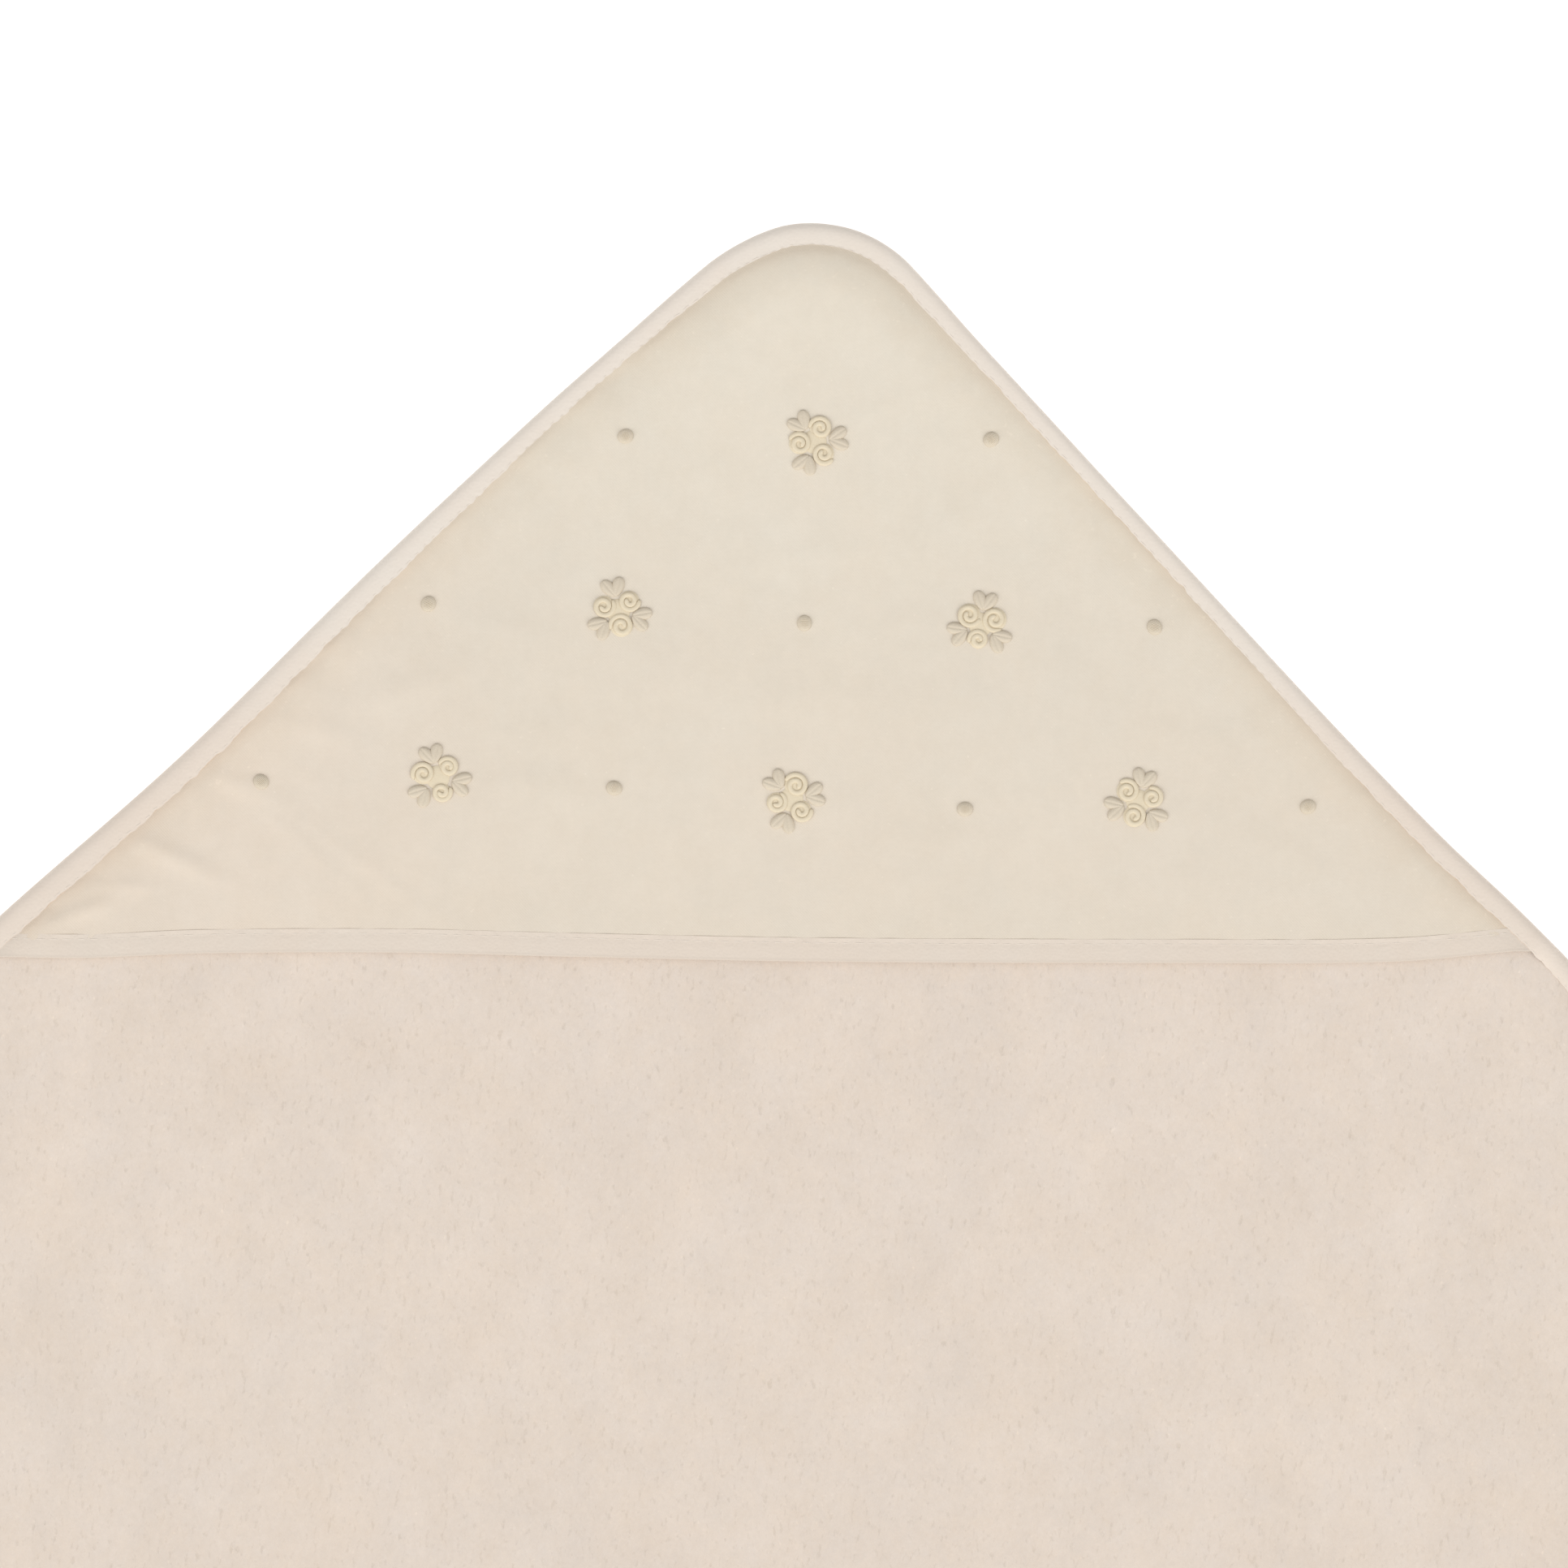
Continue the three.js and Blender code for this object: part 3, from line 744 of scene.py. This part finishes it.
class TOWEL_OT_terry(bpy.types.Operator):
    """Adds the terry cloth: one square with rounded corners, pressed thin where the tape holds it"""

    bl_idname = "towel.terry"
    bl_label = "Terry Cloth"

    CELLS = 196
    EDGE = 2.4 * MM          # the outer edge to the terry's own edge, inside the tape
    PRESSED_FACE = 3.1 * MM  # height of the terry's face inside the tape
    PRESSED_BACK = 1.6 * MM  # and of its underside
    CLEAR = 0.1 * MM         # how far the underside lies above the floor elsewhere

    def execute(self, context):
        scene = context.scene
        sizes = scene.towel_sizes
        outline = Outline(sizes)
        half = sizes.side / 2 - self.EDGE
        radius = sizes.corner_radius - self.EDGE
        quarter_turn = Matrix.Rotation(math.pi / 4, 3, "Z")

        def rounded(along, across):
            """A point of the square, drawn in where it lies in a corner."""
            x, y = (2 * along - 1) * half, (2 * across - 1) * half
            a, b = ((abs(part) - half + radius) / radius for part in (x, y))
            if a > 0 and b > 0:
                x = math.copysign(half - radius + radius * a * math.sqrt(1 - b * b / 2), x)
                y = math.copysign(half - radius + radius * b * math.sqrt(1 - a * a / 2), y)
            return quarter_turn @ Vector((x, y, 0))

        bm = bmesh.new()
        face = formed_grid(bm, self.CELLS, self.CELLS, rounded)
        second_face(bm, lambda point: self.underside(outline, point))
        for vertex in face:
            vertex.co.z = self.top(sizes, outline, vertex.co)
        cloth = new_piece("terry_cloth", bm, terry_cloth("brushed_terry", scene.cloth_colours.terry))
        ride_towel(cloth, "terry_body")
        return {"FINISHED"}

    def underside(self, outline, point):
        free = smooth((outline.inset(point.x, point.y) - 3 * MM) / (6 * MM))
        return Vector((point.x, point.y, mix(self.PRESSED_BACK, self.CLEAR, free)))

    def top(self, sizes, outline, point):
        free = smooth((outline.inset(point.x, point.y) - 3.2 * MM) / (4 * MM))
        slow = noise.noise(Vector((point.x * 9, point.y * 9, 0.4)))
        quick = noise.noise(Vector((point.x * 38, point.y * 38, 2.2)))
        uneven = sizes.unevenness * (0.75 * slow + 0.3 * quick - 0.35)
        return mix(self.PRESSED_FACE, sizes.thickness + uneven, free)


class TOWEL_OT_edge_tape(bpy.types.Operator):
    """Adds the tape folded over the towel's edge, and its two rows of topstitches"""

    bl_idname = "towel.edge_tape"
    bl_label = "Edge Tape"

    STATIONS = 2500
    AROUND = 18
    ROUND_SHARE = 0.5        # share of each half of the section that is the rounded outer edge
    STITCH_LINE = 0.93       # where the stitches lie, from 0 at the outer edge to 1 at the lip
    EASING = 8 * MM          # length over which the tape thins beyond the hood
    LIP_STEP = -0.06         # millimetres that the upper lip lies below the tape's flat over the hood
    LIP_STEP_THIN = -0.8     # and away from the hood

    def execute(self, context):
        scene = context.scene
        self.sizes = scene.towel_sizes
        self.outline = Outline(self.sizes)
        self.hood_reach = HoodForm(scene).leg_lengths(6 * MM)
        bm = bmesh.new()
        formed_grid(bm, self.STATIONS, self.AROUND, lambda along, over: self.place(
            self.closer_at_the_hood(along) * self.outline.length, 2 * over - 1, 0.0))
        closed_seams(bm, bm.verts[:])
        shell(bm, self.sizes.tape_wall)
        tape = new_piece("edge_tape", bm, tape_cloth("edge_tape_cloth", scene.cloth_colours.tape))
        ride_towel(tape, "edge_binding")
        material = thread("seam_thread", scene.cloth_colours.seam_thread, 0.9)
        for name, side, out, node in (
            ("edge_stitches_upper", 1, -0.04 * MM, "edge_topstitch_upper"),
            ("edge_stitches_lower", -1, -self.sizes.thread_radius, "edge_topstitch_lower"),
        ):
            line = side * self.STITCH_LINE
            stitches = stitch_row(
                name, lambda run: self.place(run, line, out), self.outline.length,
                self.sizes.stitch_pitch, self.sizes.stitch_length, self.sizes.thread_radius, material,
            )
            ride_towel(stitches, node)
        return {"FINISHED"}

    def closer_at_the_hood(self, along):
        """Puts the sections of the tape closer together at the hood's tip than at the far corner."""
        return along - 0.6 * math.sin(math.tau * along) / math.tau

    def place(self, distance, over, out):
        """A point of the tape. over is -1 at the lower lip, 0 at the outer edge and 1 at the upper lip."""
        to_left, to_right = distance % self.outline.length, -distance % self.outline.length
        past_hood = min(to_left - self.hood_reach[0], to_right - self.hood_reach[1])
        thick = smooth((self.EASING - past_hood) / self.EASING)
        height = mix(self.sizes.tape_height_thin, self.sizes.tape_height, thick) / 2
        height *= 1 + 0.05 * self.outline.ripple(distance, 90, 0.8)
        width = self.outline.tape_width(self.outline.at(distance, 0.0).x)
        angle = min(abs(over) / self.ROUND_SHARE, 1.0) * math.pi / 2
        flat = max(abs(over) - self.ROUND_SHARE, 0.0) / (1 - self.ROUND_SHARE)
        lip = smooth(flat * 2.2 - 1.1)
        nose = width * 0.5
        inward = nose * (1 - max(math.cos(angle), 0.0) ** 0.8) + (width - nose) * flat
        inward += lip * self.scallop(distance) - out * math.cos(angle)
        sink = lip * self.stitch_pull(distance)
        lip_step = mix(self.LIP_STEP_THIN, self.LIP_STEP, thick)
        step = lip_step * MM * flat * flat if over > 0 else 0.0
        rise = height * math.sin(angle) ** 0.8 + step - sink + out * math.sin(angle)
        point = self.outline.at(distance, inward)
        point.z = height + math.copysign(rise, over)
        return point

    def scallop(self, distance):
        """The lip's uneven edge, caught in at each stitch."""
        edge = 0.26 * self.outline.ripple(distance, 430, 3.3) + 0.4 * self.outline.ripple(distance, 980, 5.1)
        return (edge - 0.07 * self.stitch_wave(distance)) * MM

    def stitch_pull(self, distance):
        """How deep each stitch draws the tape down."""
        strength = 0.06 + 0.12 * self.outline.ripple(distance, 300, 6.2)
        return max(strength, 0.0) * MM * (0.5 + 0.5 * self.stitch_wave(distance)) ** 2

    def stitch_wave(self, distance):
        count = int(self.outline.length / self.sizes.stitch_pitch)
        return -math.cos(math.tau * count * distance / self.outline.length)


def stitch_row(name, place, run, pitch, stitch_length, radius, material, start=0.0):
    """Single stitches laid along a line, each one sunk at both ends."""
    single = bmesh.new()
    bmesh.ops.create_uvsphere(single, u_segments=6, v_segments=4, radius=1)
    bmesh.ops.rotate(single, verts=single.verts[:], matrix=Matrix.Rotation(math.pi / 2, 3, "Y"))
    bmesh.ops.scale(single, verts=single.verts[:], vec=(stitch_length / 2, radius, radius))
    template = bpy.data.meshes.new(name + "_single")
    single.to_mesh(template)
    single.free()
    bm = bmesh.new()
    count = int(run / pitch)
    for i in range(count):
        middle = start + (i + 0.5) * run / count
        here = place(middle)
        ahead = place(middle + stitch_length / 2) - place(middle - stitch_length / 2)
        side = Vector((0, 0, 1)).cross(ahead).normalized()
        turn = Matrix((ahead.normalized(), side, ahead.normalized().cross(side))).transposed()
        first = len(bm.verts)
        bm.from_mesh(template)
        bm.verts.ensure_lookup_table()
        for vertex in bm.verts[first:]:
            vertex.co = here + turn @ vertex.co
    bpy.data.meshes.remove(template)
    return new_piece(name, bm, material)


class TOWEL_OT_hood(bpy.types.Operator):
    """Adds the hood's outer cotton and its terry lining"""

    bl_idname = "towel.hood"
    bl_label = "Hood Layers"

    ACROSS = 400
    BACK = 115

    def execute(self, context):
        scene = context.scene
        form = HoodForm(scene)
        sizes = scene.hood_sizes
        colours = scene.cloth_colours
        cotton = cotton_cloth("hood_cotton", colours.cotton)
        lining_cloth = terry_cloth("lining_terry", colours.terry)
        panel = self.layer("hood_outer", form, 0.0, sizes.panel_thickness, 1.0, cotton)
        self.mark_seam(panel, form)
        bend_with_hood(panel, form, "hood_panel")
        below = sizes.panel_thickness + 0.05 * MM
        lining = self.layer("hood_inner", form, below, sizes.lining_thickness, 0.5, lining_cloth)
        bend_with_hood(lining, form, "hood_lining")
        return {"FINISHED"}

    def mark_seam(self, panel, form):
        """Stores how many millimetres each point of the cotton is from the tape, for the painted shade and
        the specks beside it.
        """
        gap = panel.data.attributes.new("seam_gap", "FLOAT", "POINT")
        gap.data.foreach_set("value", [form.from_tape(v.co.x, v.co.y) / MM for v in panel.data.vertices])

    def layer(self, name, form, below, thickness, detail, material):
        """One layer of cloth, that far under the cotton's face where the layers lie free."""

        def place(across, back):
            x, y = form.places(across, 1 - (1 - back) ** 1.15, form.TUCK, 1.1 * MM)
            pressed = mix(0.75, 1.0, form.squeeze(x, y))
            return Vector((x, y, form.top(x, y) - below * pressed))

        def underneath(point):
            pressed = mix(0.5, 1.0, form.squeeze(point.x, point.y))
            return point - Vector((0, 0, thickness * pressed))

        bm = bmesh.new()
        formed_grid(bm, int(self.ACROSS * detail), int(self.BACK * detail), place)
        second_face(bm, underneath)
        return new_piece(name, bm, material)


class TOWEL_OT_front_band(bpy.types.Operator):
    """Adds the band folded over the hood's front edge, and its two rows of topstitches"""

    bl_idname = "towel.front_band"
    bl_label = "Front Band"

    STATIONS = 400
    AROUND = 30
    FLAT_SHARE = 0.42        # share of the section that lies on either face
    NOSE = 0.5 * MM          # how far back the rounded front edge reaches
    HALF_HEIGHT = 0.615 * MM
    LAYERS = 0.525 * MM      # the cotton's face to the middle of the hood's layers
    STITCH_BACK = 4.7 * MM   # front edge to the stitch line
    STITCH_PITCH = 3.3 * MM
    STITCH_LENGTH = 2.7 * MM
    GROOVE = 0.75 * MM       # half width of the groove that the stitches draw in

    def execute(self, context):
        scene = context.scene
        self.form = HoodForm(scene)
        self.sizes = scene.hood_sizes
        sewing = scene.towel_sizes
        bm = bmesh.new()
        formed_grid(bm, self.STATIONS, self.AROUND, self.place)
        shell(bm, self.sizes.band_wall)
        band = new_piece("front_band", bm, tape_cloth("front_band_cloth", scene.cloth_colours.band, 0.86))
        bend_with_hood(band, self.form, "hood_front_binding")
        material = thread("front_thread", scene.cloth_colours.seam_thread, 0.9)
        left, right = self.ends(self.STITCH_BACK)
        for name, side, node in (
            ("front_stitches_upper", 1, "front_topstitch_upper"),
            ("front_stitches_lower", -1, "front_topstitch_lower"),
        ):
            stitches = stitch_row(
                name, lambda run: self.stitch_place(run, side), right - left - 6 * MM,
                self.STITCH_PITCH, self.STITCH_LENGTH, sewing.thread_radius, material, left + 3 * MM,
            )
            bend_with_hood(stitches, self.form, node)
        return {"FINISHED"}

    def ends(self, back):
        """Where a line that far behind the front edge goes under the tape on both sides."""
        tuck = self.form.TUCK
        left, right = self.form.leg_lengths(tuck)
        outline = self.form.outline
        return outline.at(left, tuck).x + back, outline.at(-right, tuck).x - back

    def on_face(self, x, back, side):
        y = self.form.front(x) + back
        free = mix(0.5, 1.0, self.form.squeeze(x, y))
        groove = math.exp(-((back - self.STITCH_BACK) / self.GROOVE) ** 2)
        sewn = groove * (0.05 + 0.04 * math.sin(x / (1.1 * MM)))
        lip = smooth((back - 4.6 * MM) / (1.3 * MM)) * 0.13 * noise.noise(Vector((x * 170, side, 2.6)))
        height = self.HALF_HEIGHT * free + (lip - sewn) * MM
        return Vector((x, y, self.form.top(x, y) - self.LAYERS * free + side * height))

    def stitch_place(self, x, side):
        """A point of the stitch line, half sunk in the band."""
        return self.on_face(x, self.STITCH_BACK, side) - Vector((0, 0, side * 0.06 * MM))

    def place(self, across, over):
        """over runs from the lip underneath, round the front edge, to the lip on top."""
        if over < self.FLAT_SHARE:
            back = mix(self.sizes.band_width, self.NOSE, over / self.FLAT_SHARE)
            side = -1.0
        elif over > 1 - self.FLAT_SHARE:
            back = mix(self.sizes.band_width, self.NOSE, (1 - over) / self.FLAT_SHARE)
            side = 1.0
        else:
            angle = math.pi * ((over - self.FLAT_SHARE) / (1 - 2 * self.FLAT_SHARE) - 0.5)
            back = self.NOSE * (1 - math.cos(angle))
            side = math.sin(angle)
        left, right = self.ends(back)
        return self.on_face(mix(left, right, across), back, side)


class TOWEL_OT_embroidery(bpy.types.Operator):
    """Adds the flower motifs and the dots, each at its own place on the hood"""

    bl_idname = "towel.embroidery"
    bl_label = "Embroidery"

    LEAF_TURNS = (129, 104, 82, 107, 133, 77)   # degrees, first leaf pair of each motif
    LIFT = 0.05 * MM

    def execute(self, context):
        scene = context.scene
        self.form = HoodForm(scene)
        self.sizes = scene.embroidery_sizes
        self.chance = random.Random(11)
        rose_thread = thread("rose_thread", scene.cloth_colours.rose_thread, 0.93)
        leaf_thread = thread("leaf_thread", scene.cloth_colours.leaf_thread)
        for i, degrees in enumerate(self.LEAF_TURNS):
            number = i + 1
            middle = self.middle_of(f"motif_{number}_roses")
            turn = math.radians(degrees)
            motif = f"motif_{number}_"
            for kind, build, material, slot in (
                ("roses", self.roses, rose_thread, "rose_thread"),
                ("leaves", self.leaves, leaf_thread, "leaf_thread"),
            ):
                self.piece(f"{kind}_{number}", build, middle, turn, material, motif + kind, slot)
        dots = sorted(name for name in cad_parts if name.startswith("dot_"))
        for name in dots:
            number = name.split("_")[1]
            middle = self.middle_of(name)
            turn = 0.4 * int(number)
            self.piece(f"satin_dot_{number}", self.dot, middle, turn, leaf_thread, name, "leaf_thread")
        return {"FINISHED"}

    def middle_of(self, node):
        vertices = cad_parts[node].data.vertices
        total = sum((vertex.co for vertex in vertices), Vector())
        return total / len(vertices)

    def piece(self, name, build, middle, turn, material, node, slot):
        """One piece of embroidery, laid on the cotton."""
        bm = bmesh.new()
        bm.loops.layers.uv.new("UVMap")
        build(bm)
        closed_seams(bm, bm.verts[:], 0.001 * MM)
        fill_bases(bm)
        bmesh.ops.rotate(bm, verts=bm.verts[:], matrix=Matrix.Rotation(turn, 3, "Z"))
        for vertex in bm.verts:
            x, y = middle.x + vertex.co.x, middle.y + vertex.co.y
            vertex.co = Vector((x, y, self.form.top(x, y) + self.LIFT + vertex.co.z))
        made = new_piece(name, bm, material)
        bend_with_hood(made, self.form, node)

    def roses(self, bm):
        for degrees in (60, 180, 300):
            centre = direction(math.radians(degrees)) * self.sizes.rose_offset
            self.rose(bm, centre, self.chance.uniform(0, math.tau), self.chance.uniform(0.84, 1.04))
        bed = self.sizes.rose_offset * 0.8
        formed_grid(bm, 14, 14, lambda u, v: self.dome(u, v, bed, bed, 0.3 * MM))

    def rose(self, bm, centre, start, size):
        """A cord wound from the middle outwards over a low cushion of thread."""
        sizes = self.sizes
        outer = sizes.rose_radius * size - sizes.rose_cord

        def winding(share):
            angle = start + math.tau * sizes.rose_turns * share
            reach = mix(0.16, 1.0, share ** 0.9)
            cushion = sizes.rose_height * math.sqrt(max(1 - reach * reach, 0.0))
            return centre + direction(angle) * reach * outer + Vector((0, 0, cushion + 0.16 * MM))

        cord(bm, int(30 * sizes.rose_turns), 10, winding, sizes.rose_cord, 0.5)
        formed_grid(bm, 16, 16, lambda u, v: centre + self.dome(u, v, outer, outer, sizes.rose_height))

    def dome(self, u, v, half_length, half_width, height):
        """A point of a low dome from a point of the unit square."""
        x, y = 2 * u - 1, 2 * v - 1
        flat_x = x * math.sqrt(1 - y * y / 2)
        flat_y = y * math.sqrt(1 - x * x / 2)
        rise = math.sqrt(max(1 - flat_x ** 2 - flat_y ** 2, 0.0))
        return Vector((flat_x * half_length, flat_y * half_width, height * rise))

    def leaves(self, bm):
        sizes = self.sizes
        for degrees in (0, 120, 240):
            for side in (-1, 1):
                turn = Matrix.Rotation(math.radians(degrees), 3, "Z")
                lean = Matrix.Rotation(side * sizes.leaf_spread, 3, "Z")
                base = Vector((sizes.leaf_start, 0, 0))
                formed_grid(bm, 40, 14, lambda u, v: turn @ (base + lean @ self.leaf_point(u, v)))

    def leaf_point(self, along, across):
        """A round-ended leaf in satin stitch, creased along its middle."""
        sizes = self.sizes
        side = 2 * across - 1
        width = sizes.leaf_width / 2 * math.sqrt(max(1 - (2 * along - 1) ** 2, 0.0)) * (0.78 + 0.34 * along)
        bulge = math.sqrt(max(1 - side * side, 0.0)) * math.sqrt(max(1 - (2 * along - 1) ** 2, 0.0)) ** 0.6
        crease = 1 - 0.22 * math.exp(-(side / 0.2) ** 2)
        ridge = 0.04 * MM * math.cos(math.tau * along * sizes.leaf_length / sizes.satin_pitch)
        height = bulge * (sizes.leaf_height * crease + ridge)
        return Vector((along * sizes.leaf_length, side * width, height))

    def dot(self, bm):
        sizes = self.sizes

        def place(u, v):
            point = self.dome(u, v, sizes.dot_radius, sizes.dot_radius * 0.92, sizes.dot_height)
            ridge = math.cos(math.tau * point.x / sizes.satin_pitch)
            point.z *= 1 + 0.09 * ridge
            return point

        formed_grid(bm, 44, 18, place)


class TOWEL_OT_declare(bpy.types.Operator):
    """A step that does nothing and returns at once"""

    bl_idname = "towel.declare"
    bl_label = "Cloth Facts"

    def execute(self, context):
        return {"FINISHED"}


class TOWEL_PT_panel(bpy.types.Panel):
    """Lists the towel's sizes, colours and pieces"""

    bl_idname = "TOWEL_PT_panel"
    bl_label = "Hooded Baby Towel"
    bl_space_type = "VIEW_3D"
    bl_region_type = "UI"
    bl_category = "Towel"

    def draw(self, context):
        layout = self.layout
        scene = context.scene
        for group in (scene.towel_sizes, scene.hood_sizes, scene.embroidery_sizes, scene.cloth_colours):
            box = layout.box()
            for name in group.bl_rna.properties.keys():
                if name not in {"rna_type", "name"}:
                    box.prop(group, name)
        for operator in OPERATORS:
            layout.operator(operator.bl_idname)


OPERATORS = (
    TOWEL_OT_stage,
    TOWEL_OT_terry,
    TOWEL_OT_edge_tape,
    TOWEL_OT_hood,
    TOWEL_OT_front_band,
    TOWEL_OT_embroidery,
    TOWEL_OT_declare,
)
GROUPS = {
    "towel_sizes": TowelSizes,
    "hood_sizes": HoodSizes,
    "embroidery_sizes": EmbroiderySizes,
    "cloth_colours": ClothColours,
}


def register():
    for name, group in GROUPS.items():
        bpy.utils.register_class(group)
        setattr(bpy.types.Scene, name, PointerProperty(type=group))
    for operator in OPERATORS:
        bpy.utils.register_class(operator)
    bpy.utils.register_class(TOWEL_PT_panel)


def unregister():
    bpy.utils.unregister_class(TOWEL_PT_panel)
    for operator in reversed(OPERATORS):
        bpy.utils.unregister_class(operator)
    for name, group in GROUPS.items():
        delattr(bpy.types.Scene, name)
        bpy.utils.unregister_class(group)


def main():
    register()
    bpy.ops.towel.stage()
    bpy.ops.towel.terry()
    bpy.ops.towel.edge_tape()
    bpy.ops.towel.hood()
    bpy.ops.towel.front_band()
    bpy.ops.towel.embroidery()
    bpy.ops.towel.declare()


if __name__ == "__main__":
    main()
